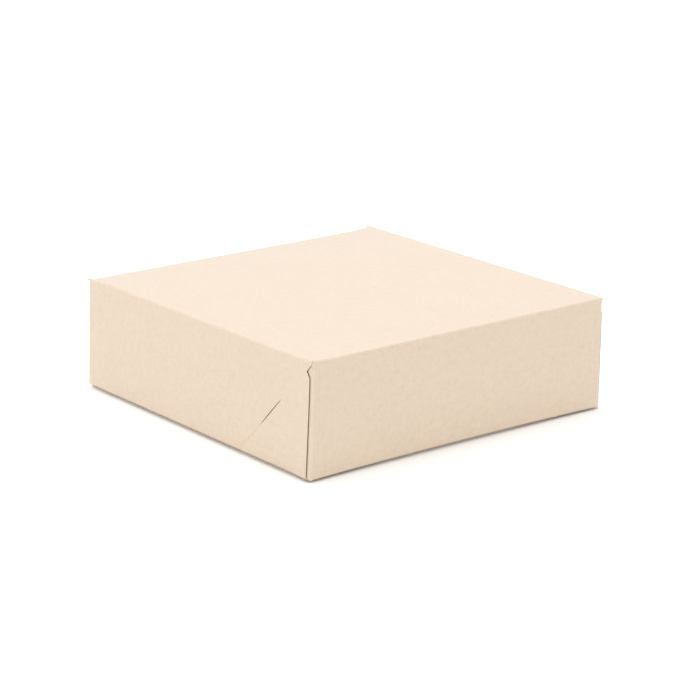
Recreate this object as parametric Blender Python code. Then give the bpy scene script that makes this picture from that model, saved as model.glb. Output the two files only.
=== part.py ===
"""Pastry box of folded paperboard, closed.

A square bakery box with six glued corners, cut and creased from one sheet: a base tray, and a
full-depth lid that folds up on a crease along the top of the back wall.  Each panel, gusset and
tab between two creases is a plate of its own, and so is each line of glue.

Metres, +Z up.  The front is at -Y and the hinge crease at +Y.  The origin is at the middle of the
underside.  On a side wall, u runs along the wall from a corner and v runs away from the crease
that joins the wall to its tray's flat panel.
"""

import math

import bpy
from mathutils import Vector

# Outside of the closed box
BOX_WIDTH = 0.2032
BOX_DEPTH = 0.2032
BOX_HEIGHT = 0.0635

# Board, and the gap that the plates keep at a crease
BOARD = 0.0005
CREASE_GAP = 0.0003

# Lid over base
LID_SIDE_CLEARANCE = 0.0006
LID_FRONT_CLEARANCE = 0.0025
LID_FLOOR_GAP = 0.0008

# Hinge crease: the bead of board that the lid turns on, and how far the lid's side walls stay off it
HINGE_BEAD_RADIUS = 0.0005
HINGE_WALL_CLEARANCE = 0.0008
HINGE_ARC_STEPS = 12

# Gusset, the triangle of a side wall that is glued at a corner
SEAM_SETBACK = 0.0018
NOTCH_DEPTH = 0.0054
NOTCH_LIP = 0.0016
NOTCH_FOOT = 0.0031

# Tab, the flap of a front or back wall that lies inside a gusset
TAB_LENGTH = 0.026
TAB_MARGIN = 0.0015
TAB_CHAMFER = 0.004
TAB_TRIM = 0.0004

# Glue line between a gusset and its tab
GLUE_FILM = 0.0001
GLUE_GAP = 0.0002
GLUE_WIDTH = 0.007
GLUE_LENGTH = 0.030
GLUE_SIDE_MARGIN = 0.004
GLUE_END_MARGIN = 0.008
GLUE_ARC_STEPS = 8

# Finishes
LID_COLOR = (0.83, 0.68, 0.51)
BASE_COLOR = (0.76, 0.60, 0.43)
TAB_COLOR = (0.70, 0.54, 0.37)
GLUE_COLOR = (0.88, 0.86, 0.76)
BOARD_ROUGHNESS = 0.85
GLUE_ROUGHNESS = 0.35

# Worked out from the sizes above
WALL_START = BOARD + CREASE_GAP
DIAGONAL_SHIFT = CREASE_GAP / math.sqrt(2)
TAB_SPACE = GLUE_FILM + 2 * GLUE_GAP
BACK = BOX_DEPTH / 2
LID_FRONT = -BOX_DEPTH / 2
LID_HALF_WIDTH = BOX_WIDTH / 2
BASE_FRONT = LID_FRONT + BOARD + LID_FRONT_CLEARANCE
BASE_HALF_WIDTH = LID_HALF_WIDTH - BOARD - TAB_SPACE - BOARD - LID_SIDE_CLEARANCE
BASE_WALL_END = BOX_HEIGHT - WALL_START
BASE_BACK_WALL_END = BOX_HEIGHT - 2 * HINGE_BEAD_RADIUS - CREASE_GAP
LID_WALL_END = BOX_HEIGHT - LID_FLOOR_GAP
LID_WALL_REAR = BACK - 2 * HINGE_BEAD_RADIUS - HINGE_WALL_CLEARANCE
HINGE_Y = BACK - HINGE_BEAD_RADIUS
HINGE_Z = BOX_HEIGHT - HINGE_BEAD_RADIUS

# Turns that stand a plate's own x and y along the box
QUARTER = math.pi / 2
FLAT = (0, 0, 0)
ACROSS_FRONT = (QUARTER, 0, 0)


def clear_scene():
    """Removes every object, so that the script can be run again."""
    for old in list(bpy.data.objects):
        bpy.data.objects.remove(old, do_unlink=True)


def new_collection(name):
    """Makes a collection in the scene."""
    collection = bpy.data.collections.new(name)
    bpy.context.scene.collection.children.link(collection)
    return collection


def new_frame(name, location, collection):
    """Makes an empty that carries the plates of one tray."""
    frame = bpy.data.objects.new(name, None)
    frame.empty_display_size = BOX_HEIGHT
    frame.location = location
    collection.objects.link(frame)
    return frame


def new_material(name, color, roughness):
    """Makes the Principled material of one plate."""
    material = bpy.data.materials.new(name)
    material.use_nodes = True
    shader = material.node_tree.nodes["Principled BSDF"]
    shader.inputs["Base Color"].default_value = (*color, 1)
    shader.inputs["Roughness"].default_value = roughness
    shader.inputs["Metallic"].default_value = 0
    material.diffuse_color = (*color, 1)
    return material


def new_plate(name, outline, thickness, location, rotation, frame, color, roughness=BOARD_ROUGHNESS):
    """Makes a flat plate from its outline; location is the place of the outline's own origin."""
    curve = bpy.data.curves.new(name, "CURVE")
    curve.dimensions = "2D"
    curve.fill_mode = "BOTH"
    curve.extrude = thickness / 2
    spline = curve.splines.new("POLY")
    spline.points.add(len(outline) - 1)
    for point, (x, y) in zip(spline.points, outline):
        point.co = (x, y, 0, 1)
    spline.use_cyclic_u = True
    curve.materials.append(new_material(name, color, roughness))
    plate = bpy.data.objects.new(name, curve)
    plate.location = Vector(location) - frame.location
    plate.rotation_euler = rotation
    plate.parent = frame
    frame.users_collection[0].objects.link(plate)
    return plate


def rectangle(left, right, low, high):
    """Outline of an upright rectangle."""
    return [(left, low), (right, low), (right, high), (left, high)]


def rounded_strip(width, length):
    """Outline of a strip with half-round ends, centred on its origin, its length along y."""
    radius = width / 2
    straight = length / 2 - radius
    outline = []
    for side in (1, -1):
        for step in range(GLUE_ARC_STEPS + 1):
            angle = math.pi * step / GLUE_ARC_STEPS
            outline.append((side * radius * math.cos(angle), side * (straight + radius * math.sin(angle))))
    return outline


def top_panel_profile():
    """Profile of the top panel in y and z: flat board that ends at the rear in the hinge bead."""
    underside = BOX_HEIGHT - BOARD
    start = math.pi - math.asin((underside - HINGE_Z) / HINGE_BEAD_RADIUS)
    end = math.tau + QUARTER
    profile = [(LID_FRONT, BOX_HEIGHT), (LID_FRONT, underside)]
    for step in range(HINGE_ARC_STEPS + 1):
        angle = start + (end - start) * step / HINGE_ARC_STEPS
        y = HINGE_Y + HINGE_BEAD_RADIUS * math.cos(angle)
        z = HINGE_Z + HINGE_BEAD_RADIUS * math.sin(angle)
        profile.append((y, z))
    return profile


def side_wall_outline(length, wall_end, rear_gusset):
    """Outline of a side wall between its diagonal creases, from the front corner at u = 0."""
    front_top = (WALL_START + DIAGONAL_SHIFT, WALL_START)
    front_foot = (wall_end + DIAGONAL_SHIFT, wall_end)
    if rear_gusset:
        rear_foot = (length - front_foot[0], wall_end)
        rear_top = (length - front_top[0], WALL_START)
    else:
        rear_foot = (length, wall_end)
        rear_top = (length, WALL_START)
    return [front_top, front_foot, rear_foot, rear_top]


def gusset_outline(wall_end):
    """Outline of a gusset: the diagonal crease, the wall's cut edge, the seam and its notch."""
    lip_start = (NOTCH_DEPTH - DIAGONAL_SHIFT, NOTCH_DEPTH)
    notch_tip = (lip_start[0] - NOTCH_LIP, NOTCH_DEPTH)
    notch_foot = (SEAM_SETBACK, NOTCH_DEPTH + NOTCH_FOOT)
    seam_foot = (SEAM_SETBACK, wall_end)
    diagonal_foot = (wall_end - DIAGONAL_SHIFT, wall_end)
    return [lip_start, notch_tip, notch_foot, seam_foot, diagonal_foot]


def tab_outline(wall_end):
    """Outline of a tab: it stays a margin away from the diagonal, with its free corner cut off."""
    tab_end = wall_end - TAB_TRIM
    return [
        (WALL_START, WALL_START + TAB_MARGIN),
        (WALL_START, tab_end),
        (TAB_LENGTH - TAB_CHAMFER, tab_end),
        (TAB_LENGTH, tab_end - TAB_CHAMFER),
        (TAB_LENGTH, TAB_LENGTH + TAB_MARGIN),
    ]


def along_side(from_front, wall_up):
    """Rotation that lays x along a side wall, away from its corner, and y away from its crease."""
    turn = QUARTER if from_front else -QUARTER
    tilt = QUARTER if wall_up else -QUARTER
    return (tilt, 0, turn)


def build_corner(tray, side, end, half_width, corner_y, crease_z, wall_end, wall_up, frame, color):
    """Builds one glued corner: the gusset, the tab inside it and the glue line between them."""
    from_front = end == "front"
    rotation = along_side(from_front, wall_up)
    outward = -1 if side == "left" else 1
    gusset_x = half_width - BOARD / 2
    glue_x = half_width - BOARD - TAB_SPACE / 2
    tab_x = half_width - BOARD - TAB_SPACE - BOARD / 2
    new_plate(f"{tray}_gusset_{end}_{side}", gusset_outline(wall_end), BOARD,
              (outward * gusset_x, corner_y, crease_z), rotation, frame, color)
    new_plate(f"{tray}_glue_tab_{end}_{side}", tab_outline(wall_end), BOARD,
              (outward * tab_x, corner_y, crease_z), rotation, frame, TAB_COLOR)
    inward = 1 if from_front else -1
    away = 1 if wall_up else -1
    glue_y = corner_y + inward * (SEAM_SETBACK + GLUE_SIDE_MARGIN + GLUE_WIDTH / 2)
    glue_z = crease_z + away * (wall_end - GLUE_END_MARGIN - GLUE_LENGTH / 2)
    new_plate(f"{tray}_glue_line_{end}_{side}", rounded_strip(GLUE_WIDTH, GLUE_LENGTH), GLUE_FILM,
              (outward * glue_x, glue_y, glue_z), rotation, frame, GLUE_COLOR, GLUE_ROUGHNESS)


def build_side_wall(tray, side, half_width, front, rear, crease_z, wall_end, wall_up, rear_gusset,
                    frame, color):
    """Builds the middle of a side wall, between its diagonals or up to its free rear end."""
    outward = -1 if side == "left" else 1
    outline = side_wall_outline(rear - front, wall_end, rear_gusset)
    new_plate(f"{tray}_{side}_wall", outline, BOARD,
              (outward * (half_width - BOARD / 2), front, crease_z),
              along_side(True, wall_up), frame, color)


def build_base(collection):
    """Builds the base tray: bottom, four walls, and four glued corners."""
    frame = new_frame("base_frame", (0, 0, 0), collection)
    wall_half = BASE_HALF_WIDTH - BOARD - TAB_SPACE
    new_plate("base_bottom_panel", rectangle(-BASE_HALF_WIDTH, BASE_HALF_WIDTH, BASE_FRONT, BACK), BOARD,
              (0, 0, BOARD / 2), FLAT, frame, BASE_COLOR)
    new_plate("base_front_wall", rectangle(-wall_half, wall_half, WALL_START, BASE_WALL_END), BOARD,
              (0, BASE_FRONT + BOARD / 2, 0), ACROSS_FRONT, frame, BASE_COLOR)
    new_plate("base_back_wall", rectangle(-wall_half, wall_half, WALL_START, BASE_BACK_WALL_END), BOARD,
              (0, BACK - BOARD / 2, 0), ACROSS_FRONT, frame, BASE_COLOR)
    for side in ("left", "right"):
        build_side_wall("base", side, BASE_HALF_WIDTH, BASE_FRONT, BACK, 0, BASE_WALL_END, True, True,
                        frame, BASE_COLOR)
        for end, corner_y in (("front", BASE_FRONT), ("back", BACK)):
            build_corner("base", side, end, BASE_HALF_WIDTH, corner_y, 0, BASE_WALL_END, True,
                         frame, BASE_COLOR)


def build_lid(collection):
    """Builds the lid: top, front wall, two side walls and two glued corners, on the hinge crease."""
    frame = new_frame("lid_hinge_frame", (0, HINGE_Y, HINGE_Z), collection)
    wall_half = LID_HALF_WIDTH - BOARD - TAB_SPACE
    new_plate("lid_top_panel", top_panel_profile(), BOX_WIDTH,
              (0, 0, 0), along_side(True, True), frame, LID_COLOR)
    wall = rectangle(-wall_half, wall_half, LID_FLOOR_GAP, BOX_HEIGHT - WALL_START)
    new_plate("lid_front_wall", wall, BOARD,
              (0, LID_FRONT + BOARD / 2, 0), ACROSS_FRONT, frame, LID_COLOR)
    for side in ("left", "right"):
        build_side_wall("lid", side, LID_HALF_WIDTH, LID_FRONT, LID_WALL_REAR, BOX_HEIGHT, LID_WALL_END,
                        False, False, frame, LID_COLOR)
        build_corner("lid", side, "front", LID_HALF_WIDTH, LID_FRONT, BOX_HEIGHT, LID_WALL_END, False,
                     frame, LID_COLOR)


def main():
    clear_scene()
    collection = new_collection("pastry_box")
    build_base(collection)
    build_lid(collection)


main()
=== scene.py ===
"""Looks of a folded kraft pastry box, built round its packed construction model.

The box is one die-cut blank of board, so its lid, its base and the hinge crease between them are
modelled as folded sheets that run on round their creases, with the lines of glue between the
layers at the corners.

A tray is modelled lying on its flat panel, with its walls standing up, and the lid is turned over
afterwards.  On a side wall, u runs along the wall from a corner, v runs away from the panel, and
both start at the outer faces.  The left walls' lean is added last.
"""

import math
from dataclasses import dataclass

import bmesh
import bpy
from bpy.props import FloatProperty, FloatVectorProperty, PointerProperty
from bpy.types import Operator, Panel, PropertyGroup
from mathutils import Matrix, Vector
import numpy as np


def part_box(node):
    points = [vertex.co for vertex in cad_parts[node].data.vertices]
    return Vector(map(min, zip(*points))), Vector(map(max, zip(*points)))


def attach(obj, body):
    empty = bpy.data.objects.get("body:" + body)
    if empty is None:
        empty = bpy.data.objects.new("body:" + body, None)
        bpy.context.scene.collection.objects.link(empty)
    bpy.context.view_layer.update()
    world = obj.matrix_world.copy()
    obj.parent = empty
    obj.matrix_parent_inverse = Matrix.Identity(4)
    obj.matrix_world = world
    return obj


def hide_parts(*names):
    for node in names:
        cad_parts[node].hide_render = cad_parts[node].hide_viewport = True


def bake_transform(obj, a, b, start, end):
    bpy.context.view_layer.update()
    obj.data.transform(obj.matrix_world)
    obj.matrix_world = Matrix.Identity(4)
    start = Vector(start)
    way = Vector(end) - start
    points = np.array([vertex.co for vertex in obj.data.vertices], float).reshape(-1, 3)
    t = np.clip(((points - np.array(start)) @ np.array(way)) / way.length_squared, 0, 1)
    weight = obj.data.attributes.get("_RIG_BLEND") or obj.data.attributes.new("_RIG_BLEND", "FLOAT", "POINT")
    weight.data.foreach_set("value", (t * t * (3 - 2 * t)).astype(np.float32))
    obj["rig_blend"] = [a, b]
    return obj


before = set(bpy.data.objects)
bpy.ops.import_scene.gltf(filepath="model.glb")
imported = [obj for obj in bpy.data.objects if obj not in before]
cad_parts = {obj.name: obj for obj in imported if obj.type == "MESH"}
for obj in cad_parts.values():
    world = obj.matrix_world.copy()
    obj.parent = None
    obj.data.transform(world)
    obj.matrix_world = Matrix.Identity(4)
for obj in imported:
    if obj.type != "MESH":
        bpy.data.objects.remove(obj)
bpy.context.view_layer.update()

bl_info = {
    "name": "Kraft Pastry Box",
    "version": (1, 0, 0),
    "blender": (4, 5, 0),
    "location": "View3D > Sidebar > Pastry Box",
    "description": "Folded board, glue and studio stage for a pastry box with a hinged lid",
    "category": "Object",
}

# Sizes read from the construction model
LID_LOW, LID_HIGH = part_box("lid_top_panel")
LID_WALL_LOW, LID_WALL_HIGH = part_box("lid_left_wall")
LID_FRONT_LOW, LID_FRONT_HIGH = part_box("lid_front_wall")
LID_TAB_LOW, LID_TAB_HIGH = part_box("lid_glue_tab_front_right")
BOTTOM_LOW, BOTTOM_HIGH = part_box("base_bottom_panel")
BASE_WALL_LOW, BASE_WALL_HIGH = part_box("base_left_wall")
BOX_HEIGHT = LID_HIGH.z
BOARD = LID_FRONT_HIGH.y - LID_FRONT_LOW.y
TAB_LENGTH = LID_TAB_HIGH.y - LID_LOW.y

# Fold of the hinge crease, which is softer than the other folds and ends beside the relief cuts
HINGE_RADIUS = 0.003
HINGE_MARGIN = 0.0015
HINGE_STEPS = 12
RELIEF_CUT = 0.002
CREASE_HALF_WIDTH = BOTTOM_HIGH.x - RELIEF_CUT
EAR_SETBACK = 0.0003        # from the construction model's rear to the lid's ears
BLEND_REACH = 1.3           # start and end of the bend between the bodies, in hinge radii

# Mesh; the last line numbers the regions of a tray
CLOSE = 0.000002            # places nearer than this are the same
QUARTER = math.pi / 2
SHARP_ANGLE = math.radians(35)
FOLD_STEPS = 8
LIP_STEPS = 5
MERGED_STEPS = 3.5          # steps of a corner up to which the side fold and the corner are one
PANEL_STEPS = 16
WALL_ROWS = 5
PANEL, SIDE, END, CORNER, TAB = range(5)

# Rows and columns of points that carry the shaping
NOTCH_ROW = 0.6             # a row inside the notch, in notch depths
FOOT_ROW = 1.2              # a row over the foot, in tab rises
TAB_COLUMNS = (0.006, 0.009, 0.014, 0.02)   # between the notch's tip and a tab's end
STRIP_EDGE = 0.0003         # width over which the turned strip's painted highlight begins
SEAM_REACH = 0.008          # part of a side wall that the seam may cut
DIAGONAL_REACH = 1.1        # part of a side wall that the diagonal may cut, in wall depths

# Shaping
SLIT_CLEARING = 0.7         # points this close to the slit join its line, in slit widths
SLIT_MERGE = 0.8            # reach of that joining, in slit widths
SLIT_BLUNTNESS = 0.5        # power of the slit's opening: 1 is pointed, less is blunter
SEAM_GAP_START = 1.2        # where the gap behind a side wall begins to close, in seam setbacks
STEP_HEIGHT = 1.6           # height at which a corner is fully behind its side wall, in radii
STEP_WIDTH = 0.0036         # part of the front wall's end that is drawn in with the corner
FOOT_HEIGHT = 0.012         # part of a wall that takes up its foot's trim
NEAR_DROP_FADE = (0.003, 0.014)     # where a side wall's lower front corner eases off
BOW_CURVE = 1.5             # power of the front wall's bow down to its foot
DIP_REACH = 0.012           # part of the lid in front of the hinge crease that sinks towards it
RIGHT_LIFT_WIDTH = 0.02     # part of the crease beside the right ear that sinks less
REAR_CORNER_CUT = 0.7       # share of the base's corners that is cut down beside the crease
TAB_FOOT_SLOPE = (-0.0005, 0.003)   # where the free edge rises to the tab's, past the fold
LIFT_FLAT = 0.001           # part of a lifted corner that is lifted in full
FRONT_LIFT_PART = 0.45      # reach of the lifted corner along the front, against that at the side

# Painted shade in the pressed score grooves, creases and the crevice behind the lips, and painted highlights
# on ridges, in steps of the finish's shading depth
END_SCORE_SHADE = -1
REAR_SCORE_SHADE = -0.5
RIDGE_HIGHLIGHT = 0.5
CREASE_SHADE = -2            # beyond the slit, where the diagonal crease is clear
CREASE_END_SHADE = -0.3
CREASE_CLEAR_PART = 0.7     # length of the clear part, in slit reaches
CREASE_DEPTH = 1.5          # depth of the diagonal crease, in score depths
LIP_SHADE_REACH = 0.03             # radians from the lip within which a corner takes the painted shade of the crevice behind the lip
SHADING_LOW, SHADING_HIGH = -8, 2
SHADING_POWERS = {"Red": 0.7, "Green": 1, "Blue": 1.5}

# The flat blank, which the paper's texture lies on: its span, and how far behind the lid's middle
# the blank's own middle is
BLANK_SPAN = 0.62
BLANK_MIDDLE = 0.1315

# Materials
NOISE_REACH = 0.2           # from a noise's middle to the values that count as its ends
NARROW_REACH = 0.15         # the same for the fibres and the warm patches
FIBRE_TURNS = (0.3, 1.35, 2.4)
FLECK_LAYERS = ((0.9, 3.1), (2.0, 7.7))     # turn of the flecks, and where their noise is read
FLECK_FADE = 0.04
FIBRE_RELIEF = 1.5          # height of the fibres in the relief, against the grain's
ROUGHNESS_REACH = 0.06
FUZZ_ROUGHNESS = 0.4
FUZZ_TINT = (1, 0.94, 0.97, 1)
TORN_SIZE = 0.0004
TORN_PATCH_SIZE = 0.003
TORN_PALE_LEAST = 0.5       # share of the pale plies that show in the darkest patches
TORN_ROUGHNESS = (0.8, 0.95)
TORN_RELIEF = (0.6, 0.00008)                # strength, and height in metres
SEAM_SHADE_SHARE = 0.9            # share of the seam gap's painted shade in a cut end
GLUE_PATCH_SIZE = 0.002
GLUE_ROUGHNESS = (0.25, 0.45)
GLUE_RELIEF = (0.3, 0.00005)
GLUE_CLARITY = 0.1          # share of the light that passes into the glue
GLUE_DEPTH = 0.001          # how far it passes in
FLOOR_CLOUD_SIZE = 0.08
FLOOR_TONES = (0.99, 1.01)

# Stage; each lamp's size is its width and height
FLOOR_RADIUS = 6
HORIZON_FADE = 0.3          # height of the view direction up to which the light grows
KEY_SIZE = (1.6, 1.2)
FILL_SIZE = (0.9, 0.5)
SENSOR_WIDTH = 36
CLIP_RANGE = (0.05, 30)


@dataclass
class Tray:
    """Sizes of one folded tray: places of its outer faces, depth, and slope of its diagonals."""
    name: str
    half_width: float
    front: float
    rear: float
    side_rear: float
    depth: float
    rear_wall: bool
    diagonal: float
    radius: float

    @property
    def fold_x(self):
        """Distance of the side folds' inner ends from the middle."""
        return self.half_width - self.radius

    @property
    def ends(self):
        """The ends that have a wall: -1 in front, 1 at the rear."""
        return (-1, 1) if self.rear_wall else (-1,)

    def outer_y(self, end):
        """Place of an end's outer face."""
        return self.front if end < 0 else self.rear

    def fold_y(self, end):
        """Place of an end fold's inner end."""
        return self.outer_y(end) - end * self.radius

    def along(self, co, end):
        """Distance u of a point from the outer face of an end wall."""
        return (self.outer_y(end) - co.y) * end


def near(value, other):
    """Tells whether two numbers are the same, to the mesh's accuracy."""
    return abs(value - other) < CLOSE


def sign(value):
    """1 for a positive value, and -1 for any other."""
    return 1 if value > 0 else -1


def smooth(value, low, high):
    """Eases from 0 at low to 1 at high."""
    share = min(max((value - low) / (high - low), 0), 1)
    return share * share * (3 - 2 * share)


def edges_where(bm, test):
    """The edges whose two ends both pass the test."""
    return [edge for edge in bm.edges if all(test(vert.co) for vert in edge.verts)]


def region_faces(bm, *regions):
    """The faces of some regions of a tray."""
    layer = bm.faces.layers.int["region"]
    return [face for face in bm.faces if face[layer] in regions]


def region_verts(bm, *regions):
    """The points of some regions of a tray."""
    return {vert for face in region_faces(bm, *regions) for vert in face.verts}


def spin_edges(bm, edges, centre, axis, angle, steps, region):
    """Spins edges into a fold and gives back the fold's last edges."""
    before = set(bm.faces)
    verts = list({vert for edge in edges for vert in edge.verts})
    last = bmesh.ops.spin(bm, geom=verts + edges, cent=centre, axis=axis, angle=angle, steps=steps,
                          use_merge=False, use_duplicate=False)["geom_last"]
    mark_new(bm, before, region)
    return [item for item in last if isinstance(item, bmesh.types.BMEdge)]


def extrude_edges(bm, edges, offset, region):
    """Extrudes edges by an offset and gives back the far edges."""
    before = set(bm.faces)
    made = bmesh.ops.extrude_edge_only(bm, edges=edges)["geom"]
    verts = {item for item in made if isinstance(item, bmesh.types.BMVert)}
    bmesh.ops.translate(bm, verts=list(verts), vec=offset)
    mark_new(bm, before, region)
    return [item for item in made
            if isinstance(item, bmesh.types.BMEdge) and set(item.verts) <= verts]


def mark_new(bm, before, region):
    """Gives the faces that weren't there before their region."""
    layer = bm.faces.layers.int["region"]
    for face in bm.faces:
        if face not in before:
            face[layer] = region


def cut_line(bm, faces, point, normal):
    """Cuts an edge line into the faces, in the plane through point."""
    geom = set(faces)
    for face in faces:
        geom.update(face.edges)
        geom.update(face.verts)
    bmesh.ops.bisect_plane(bm, geom=list(geom), dist=CLOSE, plane_co=point,
                           plane_no=Vector(normal).normalized())


def delete_faces(bm, faces):
    """Takes faces away, with the points and edges that only they have."""
    bmesh.ops.delete(bm, geom=faces, context="FACES")


# Folding a tray

def wall_levels(tray, sizes):
    """Heights of the rows of a wall: score groove, notch, and an even spread below them."""
    notch = sizes.notch_depth
    levels = groove_lines(tray.radius + sizes.score_setback, sizes)
    levels += [notch * NOTCH_ROW, notch, notch + sizes.notch_foot]
    start = levels[-1]
    levels += [start + (tray.depth - start) * step / WALL_ROWS for step in range(1, WALL_ROWS)]
    levels += [foot_row(tray, sizes), tray.depth]
    return sorted(levels)


def groove_lines(middle, sizes):
    """Places of a score groove's two edges and its middle."""
    return [middle + step * sizes.groove_width / 2 for step in (-1, 0, 1)]


def foot_row(tray, sizes):
    """Height of a wall's last row but one, a little over its foot."""
    return tray.depth - sizes.tab_rise * FOOT_ROW


def raise_wall(bm, edges, tray, sizes, region):
    """Extrudes the free edges of a fold into a wall, row by row."""
    height = tray.radius
    for level in wall_levels(tray, sizes):
        edges = extrude_edges(bm, edges, (0, 0, level - height), region)
        height = level


def fold_panel(bm, tray, sizes):
    """Makes the flat panel, with the lines that its walls' grooves will follow."""
    low = tray.fold_y(-1)
    high = tray.fold_y(1) if tray.rear_wall else tray.rear
    grid = bmesh.ops.create_grid(bm, x_segments=PANEL_STEPS, y_segments=PANEL_STEPS, size=0.5)
    bmesh.ops.scale(bm, verts=grid["verts"], vec=(2 * tray.fold_x, high - low, 1))
    bmesh.ops.translate(bm, verts=grid["verts"], vec=(0, (low + high) / 2, 0))
    bm.faces.layers.int.new("region")
    # Per point: painted shade in grooves, creases and crevices, and painted highlights on ridges, strips and
    # the bead
    bm.verts.layers.float.new("painted_shading")
    # Per point: the cut ends that take the painted shade of the gaps behind them
    bm.verts.layers.float.new("cut")
    strip = tray.half_width - sizes.strip_width
    lines = [CREASE_HALF_WIDTH, strip, strip - STRIP_EDGE]
    for score in (sizes.end_score_near, sizes.end_score_far):
        lines += groove_lines(tray.half_width - score, sizes)
    for line in lines:
        for side in (-1, 1):
            cut_line(bm, bm.faces, (side * line, 0, 0), (1, 0, 0))
    if tray.rear_wall:
        return
    lines = [tray.side_rear, panel_crease_y(), (tray.side_rear + tray.rear) / 2]
    # Lines that carry the painted highlight beside the front fold
    lines += [low + step * sizes.highlight_bead_width / 2 for step in range(1, 4)]
    for score in (sizes.rear_score_near, sizes.rear_score_far):
        lines += groove_lines(tray.side_rear - score, sizes)
    for line in lines:
        cut_line(bm, bm.faces, (0, line, 0), (0, 1, 0))


def fold_side(bm, tray, sizes, side):
    """Folds up one side wall."""
    low = tray.fold_y(-1) - CLOSE
    high = (tray.fold_y(1) if tray.rear_wall else tray.side_rear) + CLOSE
    edges = edges_where(bm, lambda co: near(co.x, side * tray.fold_x)
                        and low < co.y < high and co.z < CLOSE)
    edges = spin_edges(bm, edges, (side * tray.fold_x, 0, tray.radius), (0, 1, 0),
                       -side * QUARTER, FOLD_STEPS, SIDE)
    raise_wall(bm, edges, tray, sizes, SIDE)


def fold_end(bm, tray, sizes, end):
    """Folds up the front or rear wall."""
    limit = tray.fold_x + CLOSE
    edges = edges_where(bm, lambda co: near(co.y, tray.fold_y(end))
                        and abs(co.x) < limit and co.z < CLOSE)
    edges = spin_edges(bm, edges, (0, tray.fold_y(end), tray.radius), (1, 0, 0),
                       end * QUARTER, FOLD_STEPS, END)
    raise_wall(bm, edges, tray, sizes, END)


def fold_corner(bm, tray, sizes, side, end):
    """Turns the end of a front or rear wall round the corner and on into its glue tab."""
    fold_y = tray.fold_y(end)
    edges = edges_where(bm, lambda co: near(co.x, side * tray.fold_x)
                        and (co.y - fold_y) * end > -CLOSE)
    edges = spin_edges(bm, edges, (side * tray.fold_x, fold_y, 0), (0, 0, 1),
                       -side * end * QUARTER, FOLD_STEPS, CORNER)
    edges = [edge for edge in edges
             if min(vert.co.z for vert in edge.verts) > tray.radius - CLOSE]
    reach = tray.radius
    for column in (sizes.notch_reach, *TAB_COLUMNS, TAB_LENGTH):
        edges = extrude_edges(bm, edges, (0, -end * (column - reach), 0), TAB)
        reach = column
    pole = [vert for vert in bm.verts
            if vert.co.z < merge_height(tray)
            and abs(vert.co.x) > tray.fold_x - CLOSE
            and (vert.co.y - fold_y) * end > -CLOSE]
    bmesh.ops.remove_doubles(bm, verts=pole, dist=CLOSE * 5)


def merge_height(tray):
    """Height up to which the side fold and the rounded corner are one; they are apart above it."""
    return tray.radius * (1 - math.cos(QUARTER * MERGED_STEPS / FOLD_STEPS))


def side_faces(bm, tray, side, end, reach, regions=(SIDE,)):
    """Faces of a side wall, or of the tab behind it, that lie within reach of a corner."""
    return [face for face in region_faces(bm, *regions)
            if face.calc_center_median().x * side > tray.half_width - tray.radius / 2
            and min(tray.along(vert.co, end) for vert in face.verts) < reach - CLOSE]


def cut_slanted(bm, tray, side, end, start, stop, reach, regions=(SIDE,)):
    """Cuts the line through two (u, v) points into a side wall."""
    point = (0, tray.outer_y(end) - end * start[0], start[1])
    along = Vector((0, -end * (stop[0] - start[0]), stop[1] - start[1]))
    cut_line(bm, side_faces(bm, tray, side, end, reach, regions), point,
             along.cross(Vector((1, 0, 0))))


def between(value, points):
    """Reads a broken line given as (v, u) points."""
    for (low, at_low), (high, at_high) in zip(points, points[1:]):
        if value <= high:
            return at_low + (at_high - at_low) * (value - low) / (high - low)
    return points[-1][1]


def cut_seam(bm, tray, sizes, side, end):
    """Cuts the free end of a side wall: the notch under the fold, and the seam below it."""
    start = (tray.radius, lip_depth(tray, sizes, side))
    tip = (sizes.notch_reach, sizes.notch_depth)
    foot = (sizes.seam_setback, sizes.notch_depth + sizes.notch_foot)
    slant = sizes.seam_slant if side < 0 else sizes.seam_slant_right
    last = (sizes.seam_setback + slant, tray.depth)
    for first, second in ((start, tip), (tip, foot), (foot, last)):
        cut_slanted(bm, tray, side, end, first, second, SEAM_REACH)
    seam = [(v, u) for u, v in (start, tip, foot, last)]
    gone = []
    for face in side_faces(bm, tray, side, end, SEAM_REACH):
        centre = face.calc_center_median()
        if centre.z > start[1] and tray.along(centre, end) < between(centre.z, seam):
            gone.append(face)
    delete_faces(bm, gone)


def turn_of_lip(sizes, side):
    """Angle by which a side wall's upper end turns round its corner."""
    return sizes.lip_turn if side < 0 else sizes.lip_turn_right


def lip_depth(tray, sizes, side):
    """Depth of the notch's upper edge where the side wall begins to turn round the corner."""
    bend = turn_of_lip(sizes, side) * tray.radius
    slope = (sizes.notch_depth - tray.radius) / (sizes.notch_reach - tray.radius + bend)
    return tray.radius + bend * slope


def wrap_lip(bm, tray, sizes, side, end):
    """Carries the upper end of a side wall round the corner, over the end of the front wall."""
    layer = bm.faces.layers.int["region"]
    fold_y = tray.fold_y(end)
    turn = turn_of_lip(sizes, side)
    depth = lip_depth(tray, sizes, side)
    edges = edges_where(bm, lambda co: near(co.y, fold_y) and co.x * side > tray.fold_x
                        and merge_height(tray) - CLOSE < co.z < depth + CLOSE)
    edges = [edge for edge in edges if all(face[layer] == SIDE for face in edge.link_faces)]
    before = set(bm.faces)
    spin_edges(bm, edges, (side * tray.fold_x, fold_y, 0), (0, 0, 1), side * end * turn,
               LIP_STEPS, SIDE)
    lip = [face for face in bm.faces if face not in before]
    high = Vector((side * tray.half_width, fold_y, depth))
    low = Vector((side * (tray.fold_x + math.cos(turn) * tray.radius),
                  fold_y + end * math.sin(turn) * tray.radius, tray.radius))
    outward = Vector((side * math.cos(turn / 2), end * math.sin(turn / 2), 0))
    normal = (low - high).cross(outward)
    if normal.z < 0:
        normal.negate()
    cut_line(bm, lip, high, normal)
    delete_faces(bm, [face for face in bm.faces if face not in before
                      and (face.calc_center_median() - high).dot(normal) > 0])


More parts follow.
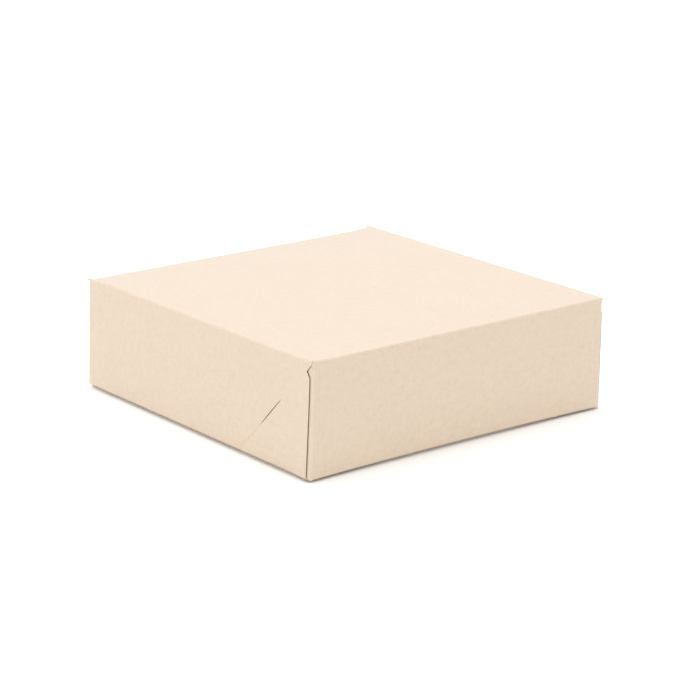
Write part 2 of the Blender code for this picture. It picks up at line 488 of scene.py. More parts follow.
def cut_diagonal(bm, tray, sizes, side, end):
    """Cuts the lines of the diagonal crease: its middle and its two edges."""
    slope = tray.diagonal
    for offset in (-sizes.groove_width, 0, sizes.groove_width):
        shift = offset * math.hypot(1, slope)
        cut_slanted(bm, tray, side, end, (0, shift), (1, slope + shift),
                    tray.depth * DIAGONAL_REACH)


def cut_tab(bm, tray, sizes, side, end):
    """Trims a glue tab along the diagonal and at its free corner."""
    start = (tray.radius, tray.radius)
    top = (TAB_LENGTH, TAB_LENGTH + sizes.tab_margin)
    foot = tray.depth - sizes.tab_rise
    chamfer = ((TAB_LENGTH - sizes.tab_chamfer, foot), (TAB_LENGTH, foot - sizes.tab_chamfer))
    for first, second in ((start, top), chamfer):
        cut_slanted(bm, tray, side, end, first, second, TAB_LENGTH + CLOSE, (TAB,))
    slope = (top[1] - start[1]) / (top[0] - start[0])
    gone = []
    for face in side_faces(bm, tray, side, end, TAB_LENGTH, (TAB,)):
        centre = face.calc_center_median()
        u = tray.along(centre, end)
        above = centre.z < start[1] + (u - start[0]) * slope
        beyond = u + centre.z > TAB_LENGTH + foot - sizes.tab_chamfer
        if above or beyond:
            gone.append(face)
    delete_faces(bm, gone)


def open_slit(bm, tray, sizes, side, end):
    """Splits the diagonal crease along its slit and draws the slit's lips apart."""
    slope = tray.diagonal
    size = math.hypot(1, slope)
    low, high = sizes.slit_start * size, (sizes.slit_start + sizes.slit_reach) * size
    along = Vector((0, -end / size, slope / size))
    across = Vector((0, -end * slope / size, -1 / size))
    corner = Vector((side * tray.half_width, tray.outer_y(end), 0))

    def on_slit(co):
        """Tells whether a point lies on the slit's middle line."""
        place = co - corner
        on_line = abs(place.x) < CLOSE and abs(place.dot(across)) < CLOSE * 5
        return on_line and low - CLOSE < place.dot(along) < high + CLOSE

    def slit_place(vert):
        """Place along and across the slit, rounded so that each run sorts the points alike."""
        place = vert.co - corner
        return round(place.dot(along), 6), round(place.dot(across), 6)

    for place in (low, high):
        cut_line(bm, side_faces(bm, tray, side, end, tray.depth), corner + along * place, along)
    bmesh.ops.subdivide_edges(bm, edges=edges_where(bm, on_slit), cuts=2)
    clearing = sizes.slit_width * SLIT_CLEARING
    beside = [vert for vert in region_verts(bm, SIDE)
              if near(vert.co.x, corner.x) and abs((vert.co - corner).dot(across)) < clearing
              and low < (vert.co - corner).dot(along) < high]
    bmesh.ops.remove_doubles(bm, verts=sorted(beside, key=slit_place),
                             dist=sizes.slit_width * SLIT_MERGE)
    bmesh.ops.split_edges(bm, edges=edges_where(bm, on_slit))
    for vert in region_verts(bm, SIDE):
        share = ((vert.co - corner).dot(along) - low) / (high - low)
        if not on_slit(vert.co) or not CLOSE < share < 1 - CLOSE:
            continue
        centres = [face.calc_center_median() for face in vert.link_faces]
        middle = sum(centres, Vector()) / len(centres)
        lip = sign((middle - corner).dot(across))
        opening = math.sin(math.pi * share) ** SLIT_BLUNTNESS
        vert.co += across * lip * sizes.slit_width / 2 * opening


def extend_panel_ears(bm, tray):
    """Lets the lid's panel stand out flat behind the free ends of its side walls."""
    for side in (-1, 1):
        edges = edges_where(bm, lambda co: near(co.x, side * tray.fold_x)
                            and co.y > tray.side_rear - CLOSE and co.z < CLOSE)
        extrude_edges(bm, edges, (side * tray.radius, 0, 0), PANEL)


def open_crease_gap(bm, tray):
    """Takes away the strip of panel or rear wall that the hinge crease piece takes over."""
    limit = CREASE_HALF_WIDTH
    if tray.rear_wall:
        cut_line(bm, region_faces(bm, END), (0, 0, back_crease_z()), (0, 0, 1))
    gone = []
    for face in region_faces(bm, PANEL, END):
        centre = face.calc_center_median()
        if abs(centre.x) > limit:
            continue
        behind = not tray.rear_wall and centre.y > panel_crease_y()
        above = tray.rear_wall and centre.y > 0 and centre.z > back_crease_z()
        if behind or above:
            gone.append(face)
    delete_faces(bm, gone)


def panel_crease_y():
    """Where the hinge crease piece meets the lid's panel."""
    return LID_HIGH.y - HINGE_RADIUS - HINGE_MARGIN


def back_crease_z():
    """Where the hinge crease piece meets the back wall."""
    return BOX_HEIGHT - HINGE_RADIUS - HINGE_MARGIN


# The flat blank

def fold_length(height, radius):
    """Length of board from the panel's edge round the fold and up a wall to a height."""
    if height < radius:
        return radius * math.acos(1 - height / radius)
    return radius * QUARTER + height - radius


def blank_place(co, region, tray):
    """Where a point of the folded tray lies on the flat tray."""
    side, end = sign(co.x), sign(co.y)
    if region == PANEL:
        return co.x, co.y
    rise = fold_length(max(co.z, 0), tray.radius)
    if region == SIDE:
        return side * (tray.fold_x + rise), co.y
    y = tray.fold_y(end) + end * rise
    if region == END:
        return co.x, y
    if region == TAB:
        return side * (tray.fold_x + tray.radius * QUARTER + tray.along(co, end) - tray.radius), y
    angle = math.atan2(abs(co.x) - tray.fold_x, (co.y - tray.fold_y(end)) * end)
    return side * (tray.fold_x + tray.radius * angle), y


def lay_out_blank(bm, tray):
    """Gives each face its place on the flat blank as the UV map."""
    uv = bm.loops.layers.uv.new("blank")
    layer = bm.faces.layers.int["region"]
    for face in bm.faces:
        for loop in face.loops:
            x, y = blank_place(loop.vert.co, face[layer], tray)
            loop[uv].uv = blank_uv(x, base_turn() - y if tray.rear_wall else y)


def blank_uv(x, y):
    """Where a place on the flat blank, in metres, lies in the UV map."""
    return 0.5 + x / BLANK_SPAN, 0.5 + (y - BLANK_MIDDLE) / BLANK_SPAN


def crease_length():
    """Length of board in the hinge crease piece."""
    return 2 * HINGE_MARGIN + HINGE_RADIUS * QUARTER


def base_turn():
    """Sum of a base point's two lengths along the blank: from the lid's middle and the base's."""
    rear_wall = fold_length(back_crease_z(), HINGE_RADIUS) - HINGE_RADIUS
    return panel_crease_y() + crease_length() + BOTTOM_HIGH.y + rear_wall


# Shaping the folded tray

def step_corners(bm, tray, sizes):
    """Draws each corner fold, with its tab and the end of its wall, in behind the side wall."""
    for vert in region_verts(bm, END, CORNER, TAB):
        side, end = sign(vert.co.x), sign(vert.co.y)
        behind = smooth(tray.along(vert.co, end), sizes.seam_setback * SEAM_GAP_START,
                        TAB_COLUMNS[0])
        step = BOARD + sizes.glue_film + sizes.seam_gap * (1 - behind)
        drop = smooth(vert.co.z, merge_height(tray), tray.radius * STEP_HEIGHT)
        reach = smooth(abs(vert.co.x), tray.fold_x - STEP_WIDTH, tray.fold_x)
        vert.co.x -= side * drop * reach * step
        turn = (abs(vert.co.x) - tray.half_width + sizes.strip_width) / sizes.strip_width
        vert.co.y -= end * drop * sizes.strip_turn * min(max(turn, 0), 1) ** 2


def trim_feet(bm, tray, sizes):
    """Shortens the lid's walls to their real lower edges."""
    for vert in region_verts(bm, SIDE, END):
        fall = smooth(vert.co.z, tray.depth - FOOT_HEIGHT, tray.depth)
        if abs(vert.co.x) > tray.fold_x + CLOSE:
            share = (vert.co.y - tray.front) / (tray.rear - tray.front)
            rise = sizes.side_rise_front * (1 - share) + sizes.side_rise_rear * share
            near_end = 1 - smooth(vert.co.y - tray.front, *NEAR_DROP_FADE)
            vert.co.z -= fall * (rise - sizes.near_drop * near_end)
        else:
            vert.co.z -= fall * sizes.front_rise


def rear_dip_at(x, sizes):
    """How far the rear edge lies below the top, at a place along it: less near the right ear."""
    lift = smooth(x, CREASE_HALF_WIDTH - RIGHT_LIFT_WIDTH, CREASE_HALF_WIDTH)
    return sizes.rear_dip * (1 - sizes.right_lift * lift)


def dip_at(co, sizes):
    """How far the top sinks at a place of its panel or side walls."""
    crease_y = panel_crease_y()
    return rear_dip_at(co.x, sizes) * smooth(co.y, crease_y - DIP_REACH, crease_y)


def dip_rear(bm, tray, sizes):
    """Sinks the lid towards the hinge crease; its ears bend down with it at their inner ends."""
    fold_y = LID_HIGH.y - HINGE_RADIUS
    ear_width = tray.fold_x - CREASE_HALF_WIDTH
    for vert in region_verts(bm, PANEL, SIDE):
        inside = min(max((tray.fold_x - abs(vert.co.x)) / ear_width, 0), 1)
        over = min(max(vert.co.y - fold_y, 0), HINGE_RADIUS)
        bend = HINGE_RADIUS - math.sqrt(HINGE_RADIUS ** 2 - over ** 2)
        dip = dip_at(vert.co, sizes)
        dip *= smooth(BOX_HEIGHT - inside * bend, back_crease_z(), BOX_HEIGHT)
        sunk = dip * (1 if vert.co.x < 0 else inside) * (1 - vert.co.z / tray.depth)
        if vert.co.z < CLOSE:
            sunk += inside * bend
            if vert.co.x > tray.fold_x + CLOSE:
                sunk += sizes.ear_droop
        vert.co.z += sunk


def lower_rear_corners(bm, tray, sizes):
    """Lowers the base's side walls under the sunk lid, and its rear corners beside the crease."""
    for vert in region_verts(bm, SIDE):
        vert.co.z -= dip_at(vert.co, sizes) * vert.co.z / tray.depth
    for vert in region_verts(bm, END, CORNER, TAB):
        over = vert.co.z - back_crease_z()
        if vert.co.y > 0 and over > 0 and abs(vert.co.x) > CREASE_HALF_WIDTH - CLOSE:
            vert.co.z -= over * REAR_CORNER_CUT


def slope_tab_feet(bm, tray, sizes):
    """Slopes the free edge of each corner fold and tab."""
    for vert in region_verts(bm, END, CORNER, TAB):
        if not near(vert.co.z, tray.depth):
            continue
        end = sign(vert.co.y)
        region = END
        if abs(vert.co.x) > tray.fold_x - CLOSE:
            region = TAB if tray.along(vert.co, end) > tray.radius + CLOSE else CORNER
        place, _ = blank_place(vert.co, region, tray)
        vert.co.z -= sizes.tab_rise * smooth(abs(place) - tray.fold_x, *TAB_FOOT_SLOPE)


def press_and_shade_scores(bm, tray, sizes):
    """Presses the score grooves beside the folds and along the diagonals and paints shade into them; paints
    a highlight on the bead beside the front fold and shade into the crevice behind each lip.
    """
    press_and_shade_side_scores(bm, tray, sizes)
    press_and_shade_end_scores(bm, tray, sizes)
    painted_shading = bm.verts.layers.float["painted_shading"]
    for vert in region_verts(bm, PANEL):
        if near(vert.co.y, tray.fold_y(-1) + sizes.highlight_bead_width / 2):
            vert[painted_shading] = sizes.bead_highlight
    for vert in region_verts(bm, SIDE, CORNER):
        side, end = sign(vert.co.x), sign(vert.co.y)
        turned = math.atan2((vert.co.y - tray.fold_y(end)) * end, abs(vert.co.x) - tray.fold_x)
        # The crevice behind the lip takes painted shade
        at_lip = abs(turned - turn_of_lip(sizes, side)) < LIP_SHADE_REACH
        if at_lip and merge_height(tray) + CLOSE < vert.co.z < tray.radius + CLOSE:
            vert[painted_shading] = sizes.lip_shade


def press_and_shade_side_scores(bm, tray, sizes):
    """Presses a tray's side walls: the fold's groove, the rear scores and the diagonal crease, and paints
    shade into the rear scores and the crease.
    """
    painted_shading = bm.verts.layers.float["painted_shading"]
    score = tray.radius + sizes.score_setback
    slit_end = sizes.slit_start + sizes.slit_reach
    for vert in region_verts(bm, SIDE):
        side = sign(vert.co.x)
        if near(vert.co.z, score):
            vert.co.x -= side * sizes.score_depth
        rear_score = any(near(tray.side_rear - vert.co.y, place)
                         for place in (sizes.rear_score_near, sizes.rear_score_far))
        if not tray.rear_wall and rear_score and vert.co.z > score:
            vert.co.x -= side * sizes.score_depth
            vert[painted_shading] = REAR_SCORE_SHADE
        for end in tray.ends:
            u = tray.along(vert.co, end)
            off = abs(vert.co.z - tray.diagonal * u) / math.hypot(1, tray.diagonal)
            if off < CLOSE * 5 and u > slit_end - CLOSE:
                vert.co.x -= side * sizes.score_depth * CREASE_DEPTH
                clear = u < slit_end + sizes.slit_reach * CREASE_CLEAR_PART
                vert[painted_shading] = CREASE_SHADE if clear else CREASE_END_SHADE


def press_and_shade_end_scores(bm, tray, sizes):
    """Presses a tray's front and rear walls: the fold's groove and the end scores; paints shade into the end
    scores, and highlights on the turned strip and the ridge at the crease's edge.
    """
    painted_shading = bm.verts.layers.float["painted_shading"]
    score = tray.radius + sizes.score_setback
    for vert in region_verts(bm, END, CORNER):
        end = sign(vert.co.y)
        edge = tray.half_width - abs(vert.co.x)
        if near(vert.co.z, score):
            vert.co.y -= end * sizes.score_depth
        if vert.co.z < tray.radius:
            continue
        if any(near(edge, place) for place in (sizes.end_score_near, sizes.end_score_far)):
            vert.co.y -= end * sizes.score_depth
            vert[painted_shading] = END_SCORE_SHADE
        elif edge < sizes.strip_width + CLOSE:
            vert[painted_shading] = sizes.strip_highlight
        elif near(abs(vert.co.x), CREASE_HALF_WIDTH):
            vert[painted_shading] = RIDGE_HIGHLIGHT


def mark_seam_shade(bm, tray):
    """Marks the cut ends at the seams, notches and slits, whose cut edges take the painted shade of the gaps
    behind them.
    """
    cut = bm.verts.layers.float["cut"]
    for vert in region_verts(bm, SIDE):
        end = 1 if vert.co.y > 0 and tray.rear_wall else -1
        inner = tray.along(vert.co, end) < tray.depth and vert.co.z < tray.depth - CLOSE
        if vert.is_boundary and inner and vert.co.z > merge_height(tray) + CLOSE:
            vert[cut] = 1


def lift_corner(bm, tray, sizes):
    """Lifts the lid's left front corner, which the layers under it hold up, down to its notch."""
    for vert in bm.verts:
        along = smooth(vert.co.y - tray.front, LIFT_FLAT, sizes.lift_reach)
        across = smooth(vert.co.x + tray.half_width, LIFT_FLAT, sizes.lift_reach * FRONT_LIFT_PART)
        fall = min(max(vert.co.z / sizes.notch_depth, 0), 1)
        vert.co.z -= sizes.corner_lift * (1 - along) * (1 - across) * (1 - fall)


def bow_front(bm, tray, sizes):
    """Bows the lid's front wall inwards towards its free edge."""
    for vert in region_verts(bm, END):
        share = 1 - min(abs(vert.co.x) / tray.fold_x, 1) ** 2
        fall = max(vert.co.z - tray.radius, 0) / (tray.depth - tray.radius)
        vert.co.y += sizes.front_bow * share * fall ** BOW_CURVE
        vert.co.z -= sizes.front_arch * share * fall


def lean_left(bm, sizes):
    """Draws the left half in towards its top, so that the left walls lean out to their feet."""
    for vert in bm.verts:
        if vert.co.x < 0:
            vert.co.x *= 1 - sizes.left_lean / LID_HIGH.x * vert.co.z / BOX_HEIGHT


def pull_nicks(bm, tray, sizes):
    """Leaves two torn nicks on the free edge of the lid's front wall."""
    half = sizes.nick_width / 2
    row = foot_row(tray, sizes)
    for place in (sizes.nick_near, sizes.nick_far):
        centre = place - tray.half_width
        for line in (centre - 2 * half, centre - half, centre + half, centre + 2 * half):
            faces = [face for face in region_faces(bm, END) if face.calc_center_median().z > row]
            cut_line(bm, faces, (line, 0, 0), (1, 0, 0))
        for vert in region_verts(bm, END):
            if vert.is_boundary and abs(vert.co.x - centre) < half + CLOSE and vert.co.z > row:
                vert.co.z += sizes.nick_height


def turn_outwards(bm):
    """Makes every face of a tray show its outer side outwards."""
    bmesh.ops.recalc_face_normals(bm, faces=bm.faces)
    if region_faces(bm, PANEL)[0].normal.z > 0:
        bmesh.ops.reverse_faces(bm, faces=bm.faces)


def fold_tray(tray, sizes):
    """Folds one tray as an open surface, with its panel lying on z = 0."""
    bm = bmesh.new()
    fold_panel(bm, tray, sizes)
    for side in (-1, 1):
        fold_side(bm, tray, sizes, side)
    for end in tray.ends:
        fold_end(bm, tray, sizes, end)
    if not tray.rear_wall:
        extend_panel_ears(bm, tray)
    for end in tray.ends:
        for side in (-1, 1):
            fold_corner(bm, tray, sizes, side, end)
            cut_seam(bm, tray, sizes, side, end)
            wrap_lip(bm, tray, sizes, side, end)
            cut_diagonal(bm, tray, sizes, side, end)
            cut_tab(bm, tray, sizes, side, end)
            if not tray.rear_wall:
                open_slit(bm, tray, sizes, side, end)
    open_crease_gap(bm, tray)
    bmesh.ops.dissolve_degenerate(bm, dist=CLOSE * 10, edges=bm.edges)
    lay_out_blank(bm, tray)
    press_and_shade_scores(bm, tray, sizes)
    mark_seam_shade(bm, tray)
    slope_tab_feet(bm, tray, sizes)
    if not tray.rear_wall:
        pull_nicks(bm, tray, sizes)
        trim_feet(bm, tray, sizes)
        bow_front(bm, tray, sizes)
        dip_rear(bm, tray, sizes)
    else:
        lower_rear_corners(bm, tray, sizes)
    step_corners(bm, tray, sizes)
    if not tray.rear_wall:
        lift_corner(bm, tray, sizes)
    turn_outwards(bm)
    return bm


# Making the pieces

def new_object(bm, name):
    """Makes an object at the origin from a bmesh, which is freed."""
    mesh = bpy.data.meshes.new(name)
    bm.to_mesh(mesh)
    bm.free()
    piece = bpy.data.objects.new(name, mesh)
    bpy.context.scene.collection.objects.link(piece)
    return piece


def give_thickness(piece):
    """Thickens a sheet inwards to the board's thickness; cut edges take the second material."""
    solidify = piece.modifiers.new("board", "SOLIDIFY")
    solidify.thickness = BOARD
    solidify.offset = -1
    solidify.material_offset_rim = 1
    finished = piece.evaluated_get(bpy.context.evaluated_depsgraph_get())
    mesh = bpy.data.meshes.new_from_object(finished)
    mesh.name = piece.name
    piece.modifiers.clear()
    piece.data = mesh
    shade(mesh)
    if not is_closed(mesh):
        raise RuntimeError(f"{piece.name} is not a closed shell")


def is_closed(mesh):
    """Tells whether every edge of a mesh joins exactly two faces."""
    bm = bmesh.new()
    bm.from_mesh(mesh)
    closed = all(len(edge.link_faces) == 2 for edge in bm.edges)
    bm.free()
    return closed


def shade(mesh):
    """Shades a mesh smoothly, except over its sharp edges."""
    mesh.shade_smooth()
    mesh.set_sharp_from_angle(angle=SHARP_ANGLE)


# Materials

def new_material(name):
    """Makes a material and gives back its node tree and its Principled shader."""
    material = bpy.data.materials.new(name)
    material.use_nodes = True
    return material, material.node_tree, material.node_tree.nodes["Principled BSDF"]


def add_node(tree, kind, values=None, **settings):
    """Adds a node; values are its inputs, and a value that is a socket is linked."""
    node = tree.nodes.new(kind)
    for key, value in settings.items():
        setattr(node, key, value)
    for key, value in (values or {}).items():
        if isinstance(value, bpy.types.NodeSocket):
            tree.links.new(value, node.inputs[key])
        else:
            node.inputs[key].default_value = value
    return node


def noise(tree, vector, feature, detail=2.0, roughness=0.5, distortion=0.0):
    """Noise whose features have a real size in metres."""
    return add_node(tree, "ShaderNodeTexNoise", {
        "Vector": vector, "Scale": 1 / feature, "Detail": detail, "Roughness": roughness,
        "Distortion": distortion}).outputs["Fac"]


def stretched(tree, vector, turn, length, width):
    """Coordinates in which one unit is a fibre's length one way and its width the other."""
    turned = add_node(tree, "ShaderNodeMapping", {"Vector": vector, "Rotation": (0, 0, turn)})
    return add_node(tree, "ShaderNodeMapping", {
        "Vector": turned.outputs["Vector"], "Scale": (1 / length, 1 / width, 1)}).outputs["Vector"]


def spread(tree, value, low, high, to_low, to_high):
    """Maps the range low to high of a value onto another range, and clamps it."""
    return add_node(tree, "ShaderNodeMapRange", {
        "Value": value, "From Min": low, "From Max": high,
        "To Min": to_low, "To Max": to_high}).outputs["Result"]


def vary(tree, value, to_low, to_high, reach=NOISE_REACH):
    """Maps the middle of a noise's range onto another range."""
    return spread(tree, value, 0.5 - reach, 0.5 + reach, to_low, to_high)


def maths(tree, operation, first, second):
    """Joins two values by an operation."""
    node = add_node(tree, "ShaderNodeMath", {0: first, 1: second}, operation=operation)
    return node.outputs["Value"]


def add_relief(tree, shader, height, strength, distance):
    """Gives a shader a bumpy surface."""
    bump = add_node(tree, "ShaderNodeBump", {
        "Height": height, "Strength": strength, "Distance": distance})
    tree.links.new(bump.outputs["Normal"], shader.inputs["Normal"])


def object_point(tree):
    """The place on the piece, in metres."""
    return add_node(tree, "ShaderNodeTexCoord").outputs["Object"]


def mix_color(tree, factor, first, second, mode="MIX"):
    """Mixes two colours and gives back the result."""
    node = tree.nodes.new("ShaderNodeMix")
    node.data_type = "RGBA"
    node.blend_type = mode
    sockets = {"factor": node.inputs[0], "first": node.inputs[6], "second": node.inputs[7]}
    for key, value in (("factor", factor), ("first", first), ("second", second)):
        if isinstance(value, bpy.types.NodeSocket):
            tree.links.new(value, sockets[key])
        else:
            sockets[key].default_value = value
    return node.outputs[2]


def paper_point(tree):
    """The place on the flat blank, in metres."""
    uv = add_node(tree, "ShaderNodeUVMap", uv_map="blank")
    return add_node(tree, "ShaderNodeVectorMath", {0: uv.outputs["UV"], "Scale": BLANK_SPAN},
                    operation="SCALE").outputs["Vector"]


def kraft_material(name, finish):
    """Uncoated kraft board: clouded, with fine pale and dark fibres and a felted surface, and painted shade
    and highlights along its scores, creases, strips and lips.
    """
    material, tree, shader = new_material(name)
    point = paper_point(tree)
    cloud = noise(tree, point, finish.cloud_size, detail=3, roughness=0.55)
    mottle = noise(tree, point, finish.mottle_size, distortion=0.8)
    grain = noise(tree, point, finish.grain_size, roughness=0.6)
    fibres = None
    for turn in FIBRE_TURNS:
        place = stretched(tree, point, turn, finish.fibre_length, finish.fibre_width)
        layer = noise(tree, place, 1, distortion=0.6)
        fibres = layer if fibres is None else maths(tree, "ADD", fibres, layer)
    fibres = maths(tree, "DIVIDE", fibres, len(FIBRE_TURNS))
    tone = vary(tree, cloud, 1 - finish.cloud_depth, 1 + finish.cloud_depth)
    for value, reach, depth in ((mottle, NOISE_REACH, finish.mottle_depth),
                                (fibres, NARROW_REACH, finish.fibre_depth),
                                (grain, NOISE_REACH, finish.grain_depth)):
        tone = maths(tree, "MULTIPLY", tone, vary(tree, value, 1 - depth, 1 + depth, reach))
    # Painted shade and highlights from the per-point attribute; darker tones turn more saturated
    shading_factor = add_node(tree, "ShaderNodeAttribute", attribute_name="painted_shading").outputs["Fac"]
    shading_factor = spread(tree, shading_factor, SHADING_LOW, SHADING_HIGH, 1 + SHADING_LOW * finish.shading_depth,
                     1 + SHADING_HIGH * finish.shading_depth)
    channels = {channel: maths(tree, "MULTIPLY", tone, maths(tree, "POWER", shading_factor, power))
                for channel, power in SHADING_POWERS.items()}
    toned = add_node(tree, "ShaderNodeCombineColor", channels)
    color = mix_color(tree, 1, (*finish.board_color, 1), toned.outputs["Color"], "MULTIPLY")
    warm = vary(tree, mottle, 0, finish.warmth, NARROW_REACH)
    color = mix_color(tree, warm, color, (*finish.warm_color, 1))
    for turn, shift in FLECK_LAYERS:
        shifted = add_node(tree, "ShaderNodeVectorMath", {0: point, 1: (shift, shift, 0)},
                           operation="ADD").outputs["Vector"]
        place = stretched(tree, shifted, turn, finish.fleck_length, finish.fleck_width)
        lines = noise(tree, place, 1, detail=1, roughness=0.4, distortion=1.2)
        amount = spread(tree, lines, finish.fleck_level, finish.fleck_level + FLECK_FADE,
                        0, finish.fleck_depth)
        color = mix_color(tree, amount, color, (*finish.fleck_color, 1))
    tree.links.new(color, shader.inputs["Base Color"])
    roughness = vary(tree, mottle, finish.roughness - ROUGHNESS_REACH,
                     finish.roughness + ROUGHNESS_REACH)
    tree.links.new(roughness, shader.inputs["Roughness"])
    relief = maths(tree, "ADD", maths(tree, "MULTIPLY", fibres, FIBRE_RELIEF), grain)
    add_relief(tree, shader, relief, finish.relief_strength, finish.relief_depth)
    shader.inputs["Sheen Weight"].default_value = finish.fuzz
    shader.inputs["Sheen Roughness"].default_value = FUZZ_ROUGHNESS
    shader.inputs["Sheen Tint"].default_value = FUZZ_TINT
    return material


def cut_edge_material(name, finish):
    """The cut edge of the board: darker, with the plies showing as fine torn lines, and painted shade of the
    gaps at seams, notches and slits.
    """
    material, tree, shader = new_material(name)
    point = object_point(tree)
    torn = noise(tree, point, TORN_SIZE, detail=4, roughness=0.7, distortion=0.5)
    patch = noise(tree, point, TORN_PATCH_SIZE)
    pale = maths(tree, "MULTIPLY", vary(tree, torn, 0, 1),
                 vary(tree, patch, TORN_PALE_LEAST, 1))
    color = mix_color(tree, pale, (*finish.edge_color, 1), (*finish.board_color, 1))
    # Painted shade of the gaps behind the cut ends at seams, notches and slits
    cut = add_node(tree, "ShaderNodeAttribute", attribute_name="cut").outputs["Fac"]
    share = spread(tree, cut, 0, 1, 0, SEAM_SHADE_SHARE)
    color = mix_color(tree, share, color, (*finish.seam_shade_color, 1))
    tree.links.new(color, shader.inputs["Base Color"])
    tree.links.new(vary(tree, torn, *TORN_ROUGHNESS), shader.inputs["Roughness"])
    add_relief(tree, shader, torn, *TORN_RELIEF)
    return material


def glue_material(name, finish):
    """Dried paper glue: yellowed, smooth and slightly glossy."""
    material, tree, shader = new_material(name)
    patch = noise(tree, object_point(tree), GLUE_PATCH_SIZE, detail=3)
    color = mix_color(tree, patch, (*finish.glue_color, 1), (*finish.board_color, 1))
    tree.links.new(color, shader.inputs["Base Color"])
    tree.links.new(vary(tree, patch, *GLUE_ROUGHNESS), shader.inputs["Roughness"])
    shader.inputs["Subsurface Weight"].default_value = GLUE_CLARITY
    shader.inputs["Subsurface Scale"].default_value = GLUE_DEPTH
    add_relief(tree, shader, patch, *GLUE_RELIEF)
    return material


def dress(piece, finish):
    """Gives a sheet its board and cut-edge materials."""
    piece.data.materials.append(kraft_material(f"{piece.name}_kraft", finish))
    piece.data.materials.append(cut_edge_material(f"{piece.name}_edge", finish))


# Settings

def length_prop(name, description, default):
    """A setting in metres."""
    return FloatProperty(name=name, description=description, default=default, unit="LENGTH",
                         precision=5)


def angle_prop(name, description, degrees):
    """A setting in degrees, which is kept in radians."""
    return FloatProperty(name=name, description=description, default=math.radians(degrees),
                         unit="ROTATION")


def number_prop(name, description, default):
    """A setting without a unit."""
    return FloatProperty(name=name, description=description, default=default, precision=4)


def share_prop(name, description, default):
    """A setting between 0 and 1."""
    return FloatProperty(name=name, description=description, default=default, min=0, max=1,
                         subtype="FACTOR")


def color_prop(name, description, default):
    """A colour."""
    return FloatVectorProperty(name=name, description=description, default=default,
                               subtype="COLOR", min=0, max=1)


def place_prop(name, description, default):
    """A place in metres."""
    return FloatVectorProperty(name=name, description=description, default=default,
                               subtype="TRANSLATION", unit="LENGTH")


